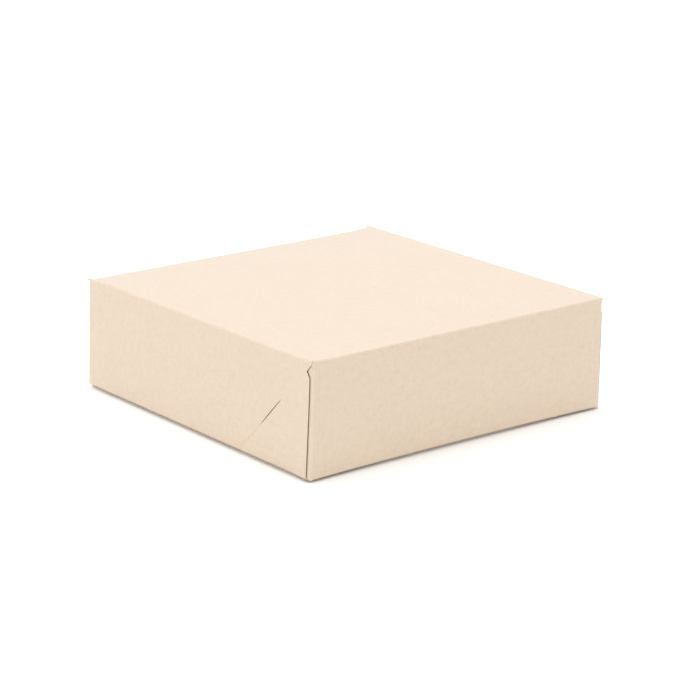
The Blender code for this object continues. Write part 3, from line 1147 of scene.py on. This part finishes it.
class FoldSizes(PropertyGroup):
    """Sizes of the folds, cuts and marks in the board."""
    fold_radius: length_prop("Fold radius", "Outer radius of every fold", 0.0013)
    lid_diagonal: number_prop(
        "Lid diagonal slope", "Depth to length of the lid's corner creases", 1.0487)
    seam_setback: length_prop("Seam setback", "From the corner to the side wall's cut end", 0.00105)
    seam_slant: length_prop("Seam slant", "How much further back the seam's foot is", 0.0012)
    seam_slant_right: length_prop("Right seam slant", "The same at the right front corner", 0.0004)
    seam_gap: length_prop("Seam gap", "Gap behind the side wall's cut end", 0.00015)
    strip_width: length_prop(
        "Strip width", "Width of the turned strip at the front wall's ends", 0.0019)
    strip_turn: length_prop("Strip turn", "How far back the strip's end is turned", 0.0003)
    # Painted highlight on the turned strip
    strip_highlight: number_prop("Strip tone", "Tone of the turned strip, against the grooves' -1", 0.6)
    # Painted highlight in a line beside the front fold
    highlight_bead_width: length_prop("Bead width", "Width of the pale bead beside the front fold", 0.002)
    bead_highlight: number_prop("Bead tone", "Tone of the bead, against the grooves' -1", 0.35)
    glue_film: length_prop("Glue film", "Thickness of the glue between two layers", 0.0001)
    notch_reach: length_prop("Notch reach", "From the corner to the notch's tip", 0.0038)
    notch_depth: length_prop("Notch depth", "From the panel to the notch's tip", 0.0055)
    notch_foot: length_prop("Notch foot", "From the notch's tip down to the seam", 0.0034)
    # Painted shade in the crevice behind the lip
    lip_shade: number_prop("Lip tone", "Tone of the crevice at the lip, against the grooves' -1", -6)
    lip_turn: angle_prop("Lip turn", "How far the side wall's upper end turns round the corner", 78)
    lip_turn_right: angle_prop("Right lip turn", "The same at the right front corner", 20)
    slit_start: length_prop(
        "Slit start", "From the corner to the diagonal slit, along the wall", 0.0237)
    slit_reach: length_prop("Slit reach", "Length of the diagonal slit, along the wall", 0.0176)
    slit_width: length_prop("Slit width", "Opening of the diagonal slit", 0.0005)
    tab_margin: length_prop("Tab margin", "How far a tab stays off the diagonal at its end", 0.0015)
    tab_chamfer: length_prop("Tab chamfer", "Cut-off at a tab's free corner", 0.004)
    tab_rise: length_prop("Tab rise", "How much shorter than its wall a tab is", 0.0014)
    score_setback: length_prop("Score setback", "From a fold's end to the groove beside it", 0.0008)
    score_depth: length_prop("Score depth", "Depth of the score grooves", 0.00005)
    groove_width: length_prop("Groove width", "Width of the score grooves", 0.0007)
    end_score_near: length_prop(
        "First end score", "From a corner to the front's first score line", 0.0029)
    end_score_far: length_prop(
        "Second end score", "From a corner to the front's second score line", 0.0053)
    rear_score_near: length_prop(
        "First rear score", "From a side wall's rear end to its last score", 0.002)
    rear_score_far: length_prop(
        "Second rear score", "From a side wall's rear end to the score before", 0.0042)
    front_bow: length_prop(
        "Front bow", "How far the lid's front wall bows inwards at its foot", 0.0009)
    front_arch: length_prop(
        "Front arch", "Rise of the lid's front wall's edge at mid-length", 0.00078)
    side_rise_front: length_prop(
        "Side rise in front", "How much shorter the side walls' fronts are", 0.0016)
    near_drop: length_prop("Near drop", "How much lower the side walls' front corners are", 0.0006)
    side_rise_rear: length_prop(
        "Side rise behind", "How much shorter the side walls' rears are", 0.0015)
    front_rise: length_prop("Front rise", "How much shorter the front wall is", 0.0006)
    rear_dip: length_prop("Rear dip", "How far the top sinks towards the hinge crease", 0.00115)
    right_lift: number_prop(
        "Right lift", "Share of the rear dip that is missing at its right end", 0.5)
    corner_lift: length_prop("Corner lift", "How far the left front corner stands up", 0.0008)
    lift_reach: length_prop(
        "Lift reach", "How far along the side wall the lifted corner reaches", 0.016)
    ear_droop: length_prop("Ear droop", "How far the tip of the right rear ear droops", 0.0004)
    left_lean: length_prop(
        "Left lean", "How far the lid's left wall leans outwards to its foot", 0.0017)
    nick_near: length_prop("First nick", "From the left corner to the first torn nick", 0.0654)
    nick_far: length_prop("Second nick", "From the left corner to the second torn nick", 0.1702)
    nick_width: length_prop("Nick width", "Width of a torn nick", 0.0009)
    nick_height: length_prop("Nick height", "How far a torn nick stands out", 0.00045)


class BoardFinish(PropertyGroup):
    """Colours and texture of the board and the glue."""
    board_color: color_prop("Board", "Colour of the kraft board", (0.878, 0.724, 0.558))
    warm_color: color_prop(
        "Warm patches", "Colour that the mottling leans to", (0.885, 0.712, 0.548))
    edge_color: color_prop("Cut edge", "Colour of the board's cut edges", (0.56, 0.43, 0.31))
    # Painted shade of the gaps behind the cut ends at seams, notches and slits
    seam_shade_color: color_prop(
        "Seam edge", "Colour of the cut edges at seams, notches and slits", (0.10, 0.062, 0.035))
    fleck_color: color_prop("Flecks", "Colour of the stray dark fibres", (0.42, 0.30, 0.19))
    glue_color: color_prop("Glue", "Colour of the dried glue", (0.88, 0.86, 0.76))
    warmth: share_prop("Warmth", "Share of the warm patches", 0.35)
    cloud_size: length_prop("Cloud size", "Size of the broad clouds", 0.035)
    cloud_depth: number_prop("Cloud depth", "Tone of the broad clouds", 0.01)
    mottle_size: length_prop("Mottle size", "Size of the fine clouds", 0.0032)
    mottle_depth: number_prop("Mottle depth", "Tone of the fine clouds", 0.042)
    fibre_length: length_prop("Fibre length", "Length of the fine fibres", 0.005)
    fibre_width: length_prop("Fibre width", "Width of the fine fibres", 0.0009)
    fibre_depth: number_prop("Fibre depth", "Tone of the fine fibres", 0.045)
    grain_size: length_prop("Grain size", "Size of the felted grain", 0.00045)
    grain_depth: number_prop("Grain depth", "Tone of the felted grain", 0.01)
    # Strength of the painted shade and highlights at scores, creases, strip, bead and lip
    shading_depth: number_prop("Press depth", "Tone of the pressed score lines", 0.07)
    fuzz: number_prop("Fuzz", "Pale sheen of the felted surface at flat angles", 0.5)
    fleck_length: length_prop("Fleck length", "Length of a stray dark fibre", 0.004)
    fleck_width: length_prop("Fleck width", "Width of a stray dark fibre", 0.0006)
    fleck_level: number_prop("Fleck level", "Higher values leave fewer dark fibres", 0.77)
    fleck_depth: number_prop("Fleck depth", "Strength of the dark fibres", 0.3)
    roughness: number_prop("Roughness", "Middle roughness of the board", 0.45)
    relief_strength: number_prop("Relief strength", "Strength of the fibres' relief", 0.35)
    relief_depth: length_prop("Relief depth", "Height of the fibres' relief", 0.00004)


class StageSettings(PropertyGroup):
    """Camera, light and floor."""
    azimuth: angle_prop("Azimuth", "Camera's turn round the box, from the front", -38.793)
    elevation: angle_prop("Elevation", "Camera's angle above the floor", 16.763)
    roll: angle_prop("Roll", "Camera's roll", 0.5755)
    distance: length_prop("Distance", "From the camera to the point it turns round", 1.3723)
    lens: number_prop("Lens", "Focal length in millimetres", 128.6)
    aim: place_prop("Aim", "Point that the camera turns round", (-0.00463, -0.01342, 0.03152))
    surround: number_prop("Surround", "Light from all round", 0.89)
    horizon: number_prop("Horizon", "Light from all round, just above the floor", 0.38)
    floor_glare: number_prop(
        "Floor glare", "Brightness of the floor where it is seen directly", 1.12)
    key_place: place_prop("Key place", "Middle of the soft lamp overhead", (-0.05, 0.25, 2.2))
    key_power: number_prop("Key power", "Power of the soft lamp overhead, in watts", 12.8)
    fill_place: place_prop("Fill place", "Middle of the low lamp on the left", (-1.4, 0.5, 0.3))
    fill_power: number_prop("Fill power", "Power of the low lamp on the left, in watts", 0.8)
    floor_color: color_prop("Floor", "Colour of the floor", (0.93, 0.93, 0.93))


class PastryBoxSettings(PropertyGroup):
    """All settings of the box."""
    folds: PointerProperty(type=FoldSizes)
    board: PointerProperty(type=BoardFinish)
    stage: PointerProperty(type=StageSettings)


# Operators

class PASTRYBOX_OT_lid_sheet(Operator):
    """Fold the lid: top, front wall, side walls, gussets and tabs as one sheet"""
    bl_idname = "pastry_box.lid_sheet"
    bl_label = "Lid Sheet"

    def execute(self, context):
        settings = context.scene.pastry_box
        tray = Tray(name="lid_sheet", half_width=LID_HIGH.x, front=LID_LOW.y,
                    rear=LID_HIGH.y - EAR_SETBACK, side_rear=LID_WALL_HIGH.y,
                    depth=BOX_HEIGHT - LID_WALL_LOW.z, rear_wall=False,
                    diagonal=settings.folds.lid_diagonal, radius=settings.folds.fold_radius)
        bm = fold_tray(tray, settings.folds)
        bmesh.ops.scale(bm, verts=bm.verts, vec=(1, 1, -1))
        bmesh.ops.translate(bm, verts=bm.verts, vec=(0, 0, BOX_HEIGHT))
        bmesh.ops.reverse_faces(bm, faces=bm.faces)
        lean_left(bm, settings.folds)
        piece = new_object(bm, tray.name)
        dress(piece, settings.board)
        give_thickness(piece)
        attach(piece, "lid")
        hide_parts("lid_top_panel", "lid_front_wall", "lid_left_wall", "lid_right_wall",
                    "lid_gusset_front_left", "lid_gusset_front_right",
                    "lid_glue_tab_front_left", "lid_glue_tab_front_right")
        return {"FINISHED"}


class PASTRYBOX_OT_base_sheet(Operator):
    """Fold the base: bottom, four walls, gussets and tabs as one sheet"""
    bl_idname = "pastry_box.base_sheet"
    bl_label = "Base Sheet"

    def execute(self, context):
        settings = context.scene.pastry_box
        tray = Tray(name="base_sheet", half_width=BOTTOM_HIGH.x, front=BOTTOM_LOW.y,
                    rear=BOTTOM_HIGH.y, side_rear=BOTTOM_HIGH.y, depth=BASE_WALL_HIGH.z,
                    rear_wall=True, diagonal=1.0, radius=settings.folds.fold_radius)
        bm = fold_tray(tray, settings.folds)
        lean_left(bm, settings.folds)
        piece = new_object(bm, tray.name)
        dress(piece, settings.board)
        give_thickness(piece)
        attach(piece, "base")
        names = ["base_bottom_panel"]
        names += [f"base_{wall}_wall" for wall in ("front", "back", "left", "right")]
        names += [f"base_{kind}_{end}_{side}" for kind in ("gusset", "glue_tab")
                  for end in ("front", "back") for side in ("left", "right")]
        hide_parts(*names)
        return {"FINISHED"}


class PASTRYBOX_OT_hinge_crease(Operator):
    """Fold the hinge crease between the back wall and the lid"""
    bl_idname = "pastry_box.hinge_crease"
    bl_label = "Hinge Crease"

    def execute(self, context):
        settings = context.scene.pastry_box
        bm = fold_crease(settings.folds)
        lean_left(bm, settings.folds)
        bmesh.ops.recalc_face_normals(bm, faces=bm.faces)
        highest = max(bm.faces, key=lambda face: face.calc_center_median().z)
        if highest.normal.z < 0:
            bmesh.ops.reverse_faces(bm, faces=bm.faces)
        piece = new_object(bm, "hinge_crease")
        dress(piece, settings.board)
        give_thickness(piece)
        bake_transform(piece, "base", "lid",
                 start=(0, LID_HIGH.y, BOX_HEIGHT - HINGE_RADIUS * BLEND_REACH),
                 end=(0, LID_HIGH.y - HINGE_RADIUS * BLEND_REACH, BOX_HEIGHT))
        return {"FINISHED"}


def fold_crease(sizes):
    """Folds the hinge crease as an open surface, from the lid's panel down to the back wall."""
    bm = bmesh.new()
    bm.faces.layers.int.new("region")
    start = bm.verts.new((-CREASE_HALF_WIDTH, panel_crease_y(), BOX_HEIGHT))
    chain = bmesh.ops.extrude_vert_indiv(bm, verts=[start])
    bmesh.ops.translate(bm, verts=chain["verts"], vec=(0, HINGE_MARGIN, 0))
    centre = (0, LID_HIGH.y - HINGE_RADIUS, BOX_HEIGHT - HINGE_RADIUS)
    bend = bmesh.ops.spin(bm, geom=chain["verts"], cent=centre, axis=(1, 0, 0),
                          angle=-QUARTER, steps=HINGE_STEPS)
    last = [item for item in bend["geom_last"] if isinstance(item, bmesh.types.BMVert)]
    chain = bmesh.ops.extrude_vert_indiv(bm, verts=last)
    bmesh.ops.translate(bm, verts=chain["verts"], vec=(0, 0, -HINGE_MARGIN))
    edges = list(bm.edges)
    for _ in range(PANEL_STEPS):
        edges = extrude_edges(bm, edges, (2 * CREASE_HALF_WIDTH / PANEL_STEPS, 0, 0), PANEL)
    uv = bm.loops.layers.uv.new("blank")
    for face in bm.faces:
        for loop in face.loops:
            place = panel_crease_y() + crease_place(loop.vert.co)
            loop[uv].uv = blank_uv(loop.vert.co.x, place)
    for vert in bm.verts:
        dip = rear_dip_at(vert.co.x, sizes)
        vert.co.z -= dip * smooth(vert.co.z, back_crease_z(), BOX_HEIGHT)
    return bm


def crease_place(co):
    """Length of board from the panel's end of the hinge crease to a point of it."""
    fold_y = LID_HIGH.y - HINGE_RADIUS
    fold_z = BOX_HEIGHT - HINGE_RADIUS
    if co.y < fold_y:
        return co.y - panel_crease_y()
    if co.z < fold_z:
        return HINGE_MARGIN + HINGE_RADIUS * QUARTER + fold_z - co.z
    return HINGE_MARGIN + HINGE_RADIUS * math.atan2(co.y - fold_y, co.z - fold_z)


class PASTRYBOX_OT_glue_lines(Operator):
    """Make the dried glue lines between the gussets and their tabs"""
    bl_idname = "pastry_box.glue_lines"
    bl_label = "Glue Lines"

    def execute(self, context):
        settings = context.scene.pastry_box
        material = glue_material("dried_glue", settings.board)
        places = [("base", end, side) for end in ("front", "back") for side in ("left", "right")]
        places += [("lid", "front", side) for side in ("left", "right")]
        for body, end, side in places:
            node = f"{body}_glue_line_{end}_{side}"
            low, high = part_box(node)
            half_width = LID_HIGH.x if body == "lid" else BOTTOM_HIGH.x
            outward = -1 if side == "left" else 1
            bm = glue_strip(low, high, half_width, outward, settings.folds.glue_film)
            lean_left(bm, settings.folds)
            piece = new_object(bm, f"{node}_film")
            piece.data.materials.append(material)
            shade(piece.data)
            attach(piece, body)
            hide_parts(node)
        return {"FINISHED"}


def glue_strip(low, high, half_width, outward, film):
    """A strip of glue with round ends, pressed between a gusset and its tab."""
    radius = (high.y - low.y) / 2
    straight = (high.z - low.z) / 2 - radius
    bm = bmesh.new()
    bmesh.ops.create_circle(bm, cap_ends=True, segments=32, radius=radius)
    for vert in bm.verts:
        if vert.co.y > CLOSE:
            vert.co.y += straight
        elif vert.co.y < -CLOSE:
            vert.co.y -= straight
    made = bmesh.ops.extrude_face_region(bm, geom=list(bm.faces))["geom"]
    upper = [item for item in made if isinstance(item, bmesh.types.BMVert)]
    bmesh.ops.translate(bm, verts=upper, vec=(0, 0, film))
    x = outward * (half_width - BOARD - (film if outward > 0 else 0))
    middle = Matrix.Translation((x, (low.y + high.y) / 2, (low.z + high.z) / 2))
    turn = Matrix(((0, 0, 1), (1, 0, 0), (0, 1, 0))).to_4x4()
    bmesh.ops.transform(bm, matrix=middle @ turn, verts=bm.verts)
    bmesh.ops.recalc_face_normals(bm, faces=bm.faces)
    return bm


class PASTRYBOX_OT_stage(Operator):
    """Set up the white floor, the soft light and the camera"""
    bl_idname = "pastry_box.stage"
    bl_label = "Stage"

    def execute(self, context):
        settings = context.scene.pastry_box.stage
        make_floor(settings)
        make_surround(context, settings)
        make_lamp("overhead_softbox", settings.key_place, KEY_SIZE, settings.key_power)
        make_lamp("left_softbox", settings.fill_place, FILL_SIZE, settings.fill_power)
        make_camera(context, settings)
        context.scene.view_settings.view_transform = "Standard"
        return {"FINISHED"}


def seen_directly(tree):
    """1 for rays that show the background: camera, glossy and transmission rays."""
    path = tree.nodes.new("ShaderNodeLightPath")
    seen = maths(tree, "MAXIMUM", path.outputs["Is Camera Ray"], path.outputs["Is Glossy Ray"])
    return maths(tree, "MAXIMUM", seen, path.outputs["Is Transmission Ray"])


def make_floor(settings):
    """White floor that keeps the box's shadow; seen directly it is lifted to white."""
    bm = bmesh.new()
    bmesh.ops.create_circle(bm, cap_ends=True, segments=96, radius=FLOOR_RADIUS)
    floor = new_object(bm, "studio_floor")
    material, tree, shader = new_material("white_floor")
    paper = noise(tree, object_point(tree), FLOOR_CLOUD_SIZE, detail=3)
    shade_of_floor = vary(tree, paper, *FLOOR_TONES)
    plain = add_node(tree, "ShaderNodeCombineColor", {
        "Red": shade_of_floor, "Green": shade_of_floor, "Blue": shade_of_floor})
    glare = (*[settings.floor_glare] * 3, 1)
    shown = mix_color(tree, seen_directly(tree), (*settings.floor_color, 1), glare)
    color = mix_color(tree, 1, shown, plain.outputs["Color"], "MULTIPLY")
    diffuse = add_node(tree, "ShaderNodeBsdfDiffuse", {"Color": color})
    tree.links.new(diffuse.outputs["BSDF"], tree.nodes["Material Output"].inputs["Surface"])
    tree.nodes.remove(shader)
    floor.data.materials.append(material)


def make_surround(context, settings):
    """Even light from all round; seen directly it is white."""
    world = bpy.data.worlds.new("white_surround")
    world.use_nodes = True
    tree = world.node_tree
    background = tree.nodes["Background"]
    background.inputs["Color"].default_value = (1, 1, 1, 1)
    direction = add_node(tree, "ShaderNodeTexCoord").outputs["Generated"]
    height = add_node(tree, "ShaderNodeSeparateXYZ", {"Vector": direction}).outputs["Z"]
    light = spread(tree, height, 0, HORIZON_FADE, settings.horizon, settings.surround)
    strength = add_node(tree, "ShaderNodeMix", {0: seen_directly(tree), 2: light, 3: 1.0})
    tree.links.new(strength.outputs[0], background.inputs["Strength"])
    context.scene.world = world


def make_lamp(name, place, size, power):
    """Soft lamp aimed at the middle of the floor."""
    light = bpy.data.lights.new(name, "AREA")
    light.shape = "RECTANGLE"
    light.size, light.size_y = size
    light.energy = power
    lamp = bpy.data.objects.new(name, light)
    lamp.location = place
    lamp.rotation_mode = "QUATERNION"
    lamp.rotation_quaternion = (-lamp.location).to_track_quat("-Z", "Y")
    bpy.context.scene.collection.objects.link(lamp)


def make_camera(context, settings):
    """Camera at the photograph's angle."""
    az, el, roll = settings.azimuth, settings.elevation, settings.roll
    back = Vector((math.sin(az) * math.cos(el), -math.cos(az) * math.cos(el), math.sin(el)))
    right = Vector((0, 0, 1)).cross(back).normalized()
    up = back.cross(right)
    rolled_right = right * math.cos(roll) + up * math.sin(roll)
    rolled_up = up * math.cos(roll) - right * math.sin(roll)
    data = bpy.data.cameras.new("camera")
    data.lens = settings.lens
    data.sensor_width = SENSOR_WIDTH
    data.clip_start, data.clip_end = CLIP_RANGE
    camera = bpy.data.objects.new("camera", data)
    turn = Matrix((rolled_right, rolled_up, back)).transposed().to_4x4()
    camera.matrix_world = Matrix.Translation(Vector(settings.aim) + back * settings.distance) @ turn
    context.scene.collection.objects.link(camera)
    context.scene.camera = camera


class PASTRYBOX_PT_panel(Panel):
    """Builds the box piece by piece"""
    bl_label = "Pastry Box"
    bl_idname = "PASTRYBOX_PT_panel"
    bl_space_type = "VIEW_3D"
    bl_region_type = "UI"
    bl_category = "Pastry Box"

    def draw(self, context):
        for operator in OPERATORS:
            self.layout.operator(operator.bl_idname)
        settings = context.scene.pastry_box
        for group in (settings.folds, settings.board, settings.stage):
            box = self.layout.box()
            for name in group.__annotations__:
                box.prop(group, name)


OPERATORS = (PASTRYBOX_OT_lid_sheet, PASTRYBOX_OT_base_sheet, PASTRYBOX_OT_hinge_crease,
             PASTRYBOX_OT_glue_lines, PASTRYBOX_OT_stage)
CLASSES = (FoldSizes, BoardFinish, StageSettings, PastryBoxSettings, *OPERATORS, PASTRYBOX_PT_panel)


def register():
    """Registers the classes and the scene's settings."""
    for cls in CLASSES:
        bpy.utils.register_class(cls)
    bpy.types.Scene.pastry_box = PointerProperty(type=PastryBoxSettings)


def unregister():
    """Takes the settings and the classes away again."""
    del bpy.types.Scene.pastry_box
    for cls in reversed(CLASSES):
        bpy.utils.unregister_class(cls)


def main():
    """Builds the box piece by piece."""
    register()
    bpy.ops.pastry_box.lid_sheet()
    bpy.ops.pastry_box.base_sheet()
    bpy.ops.pastry_box.hinge_crease()
    bpy.ops.pastry_box.glue_lines()
    bpy.ops.pastry_box.stage()


if __name__ == "__main__":
    main()
